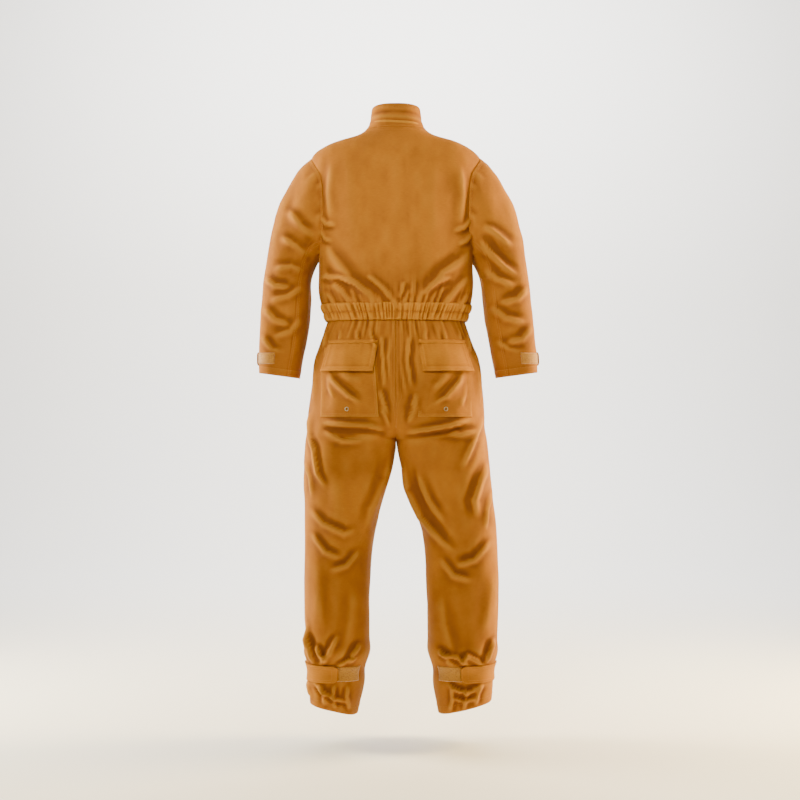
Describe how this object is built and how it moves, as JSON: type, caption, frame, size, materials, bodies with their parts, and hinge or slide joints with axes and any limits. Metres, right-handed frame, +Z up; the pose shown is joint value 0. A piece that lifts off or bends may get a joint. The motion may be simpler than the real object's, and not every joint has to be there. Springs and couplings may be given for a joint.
{
  "type": "firefighting coverall",
  "caption": "One-piece firefighting coverall with stand collar, long sleeves, elastic waist, flapped rear pockets, a front zip, and closing tabs at the cuffs and ankles.",
  "frame": {"origin": "middle of the hanger loop inside the back neck, between the strap and the facing", "axes": "+Z up with the garment hanging, the front faces -Y, the wearer's left side is +X"},
  "size_m": [0.746, 0.2569, 1.6142],
  "materials": {
    "shell_cloth": "matte woven aramid cloth",
    "loop_pile": "matte hook-and-loop pile",
    "zip_tape": "matte woven tape",
    "elastic_web": "matte ribbed elastic",
    "zip_brass": "satin",
    "eyelet_brass": "antique"
  },
  "bodies": {
    "trunk": {"back_bodice": "shell_cloth", "collar": "shell_cloth", "collar_facing": "shell_cloth", "hanger_loop": "shell_cloth", "left_chest_pocket": "shell_cloth", "left_front_bodice": "shell_cloth", "left_rear_pocket": "shell_cloth", "left_seat_back": "shell_cloth", "left_seat_front": "shell_cloth", "left_shoulder_cap": "shell_cloth", "left_zipper_tape": "zip_tape", "left_zipper_teeth": "zip_brass", "rear_pocket_eyelets": "eyelet_brass", "right_chest_pocket": "shell_cloth", "right_front_bodice": "shell_cloth", "right_rear_pocket": "shell_cloth", "right_seat_back": "shell_cloth", "right_seat_front": "shell_cloth", "right_shoulder_cap": "shell_cloth", "right_zipper_tape": "zip_tape", "right_zipper_teeth": "zip_brass", "throat_loop_patch": "loop_pile", "throat_tab_base": "shell_cloth", "waist_casing": "shell_cloth", "waist_elastic": "elastic_web", "zip_guard": "shell_cloth", "zipper_stops": "zip_brass"},
    "left_arm": {"left_top_sleeve": "shell_cloth", "left_under_sleeve": "shell_cloth", "left_cuff_tab_base": "shell_cloth", "left_cuff_loop_patch": "loop_pile"},
    "left_leg": {"left_leg_back": "shell_cloth", "left_leg_front": "shell_cloth", "left_ankle_tab_base": "shell_cloth", "left_ankle_loop_patch": "loop_pile"},
    "left_cuff_tab": {"left_cuff_tab": "shell_cloth"},
    "left_ankle_tab": {"left_ankle_tab": "shell_cloth"},
    "left_rear_flap": {"left_rear_flap": "shell_cloth"},
    "left_chest_flap": {"left_chest_flap": "shell_cloth"},
    "right_arm": {"right_top_sleeve": "shell_cloth", "right_under_sleeve": "shell_cloth", "right_cuff_tab_base": "shell_cloth", "right_cuff_loop_patch": "loop_pile"},
    "right_leg": {"right_leg_back": "shell_cloth", "right_leg_front": "shell_cloth", "right_ankle_tab_base": "shell_cloth", "right_ankle_loop_patch": "loop_pile"},
    "right_cuff_tab": {"right_cuff_tab": "shell_cloth"},
    "right_ankle_tab": {"right_ankle_tab": "shell_cloth"},
    "right_rear_flap": {"right_rear_flap": "shell_cloth"},
    "right_chest_flap": {"right_chest_flap": "shell_cloth"},
    "throat_tab": {"throat_tab": "shell_cloth"},
    "top_slider": {"top_slider": "zip_brass"},
    "top_slider_pull": {"top_slider_pull": "zip_brass"},
    "bottom_slider": {"bottom_slider": "zip_brass"},
    "bottom_slider_pull": {"bottom_slider_pull": "zip_brass"}
  },
  "joints": [
    {"name": "left_shoulder_swing", "type": "hinge", "parent": "trunk", "child": "left_arm", "pos_m": [0.2, -0.046, -0.15], "axis": [0, -1, 0], "range_deg": [0, 70]},
    {"name": "left_hip_swing", "type": "hinge", "parent": "trunk", "child": "left_leg", "pos_m": [0, -0.05, -0.85], "axis": [-1, 0, 0], "range_deg": [-20, 50]},
    {"name": "left_rear_flap_lift", "type": "hinge", "parent": "trunk", "child": "left_rear_flap", "pos_m": [0.1144, 0.05562, -0.576], "axis": [0.9633, -0.2684, 0], "range_deg": [0, 120]},
    {"name": "left_chest_flap_lift", "type": "hinge", "parent": "trunk", "child": "left_chest_flap", "pos_m": [0.10904, -0.13744, -0.19], "axis": [-0.9863, -0.1651, 0], "range_deg": [0, 120]},
    {"name": "left_cuff_tab_swing", "type": "hinge", "parent": "left_arm", "child": "left_cuff_tab", "pos_m": [0.36299, -0.104, -0.612], "axis": [0, 0, -1], "range_deg": [0, 110]},
    {"name": "left_ankle_tab_swing", "type": "hinge", "parent": "left_leg", "child": "left_ankle_tab", "pos_m": [0.24308, -0.0327, -1.442], "axis": [0, 0, -1], "range_deg": [0, 110]},
    {"name": "right_shoulder_swing", "type": "hinge", "parent": "trunk", "child": "right_arm", "pos_m": [-0.2, -0.046, -0.15], "axis": [0, 1, 0], "range_deg": [0, 70]},
    {"name": "right_hip_swing", "type": "hinge", "parent": "trunk", "child": "right_leg", "pos_m": [0, -0.05, -0.85], "axis": [-1, 0, 0], "range_deg": [-20, 50]},
    {"name": "right_rear_flap_lift", "type": "hinge", "parent": "trunk", "child": "right_rear_flap", "pos_m": [-0.1144, 0.05562, -0.576], "axis": [0.9633, 0.2684, 0], "range_deg": [0, 120]},
    {"name": "right_chest_flap_lift", "type": "hinge", "parent": "trunk", "child": "right_chest_flap", "pos_m": [-0.10904, -0.13744, -0.19], "axis": [-0.9863, 0.1651, 0], "range_deg": [0, 120]},
    {"name": "right_cuff_tab_swing", "type": "hinge", "parent": "right_arm", "child": "right_cuff_tab", "pos_m": [-0.37315, -0.104, -0.612], "axis": [0, 0, 1], "range_deg": [0, 110]},
    {"name": "right_ankle_tab_swing", "type": "hinge", "parent": "right_leg", "child": "right_ankle_tab", "pos_m": [-0.26965, -0.0327, -1.442], "axis": [0, 0, 1], "range_deg": [0, 110]},
    {"name": "throat_tab_swing", "type": "hinge", "parent": "trunk", "child": "throat_tab", "pos_m": [0.034, -0.13053, -0.033], "axis": [0, 0.0649, 0.9979], "range_deg": [0, 120]},
    {"name": "top_slider_travel", "type": "slide", "parent": "trunk", "child": "top_slider", "axis": [0, -0.0649, -0.9979], "range_m": [0, 0.38]},
    {"name": "bottom_slider_travel", "type": "slide", "parent": "trunk", "child": "bottom_slider", "axis": [0, 0.0649, 0.9979], "range_m": [0, 0.2]},
    {"name": "top_pull_swing", "type": "hinge", "parent": "top_slider", "child": "top_slider_pull", "pos_m": [0, -0.13379, -0.07957], "axis": [-1, 0, 0], "range_deg": [0, 150]},
    {"name": "bottom_pull_swing", "type": "hinge", "parent": "bottom_slider", "child": "bottom_slider_pull", "pos_m": [0, -0.17617, -0.73157], "axis": [-1, 0, 0], "range_deg": [0, 150]}
  ]
}
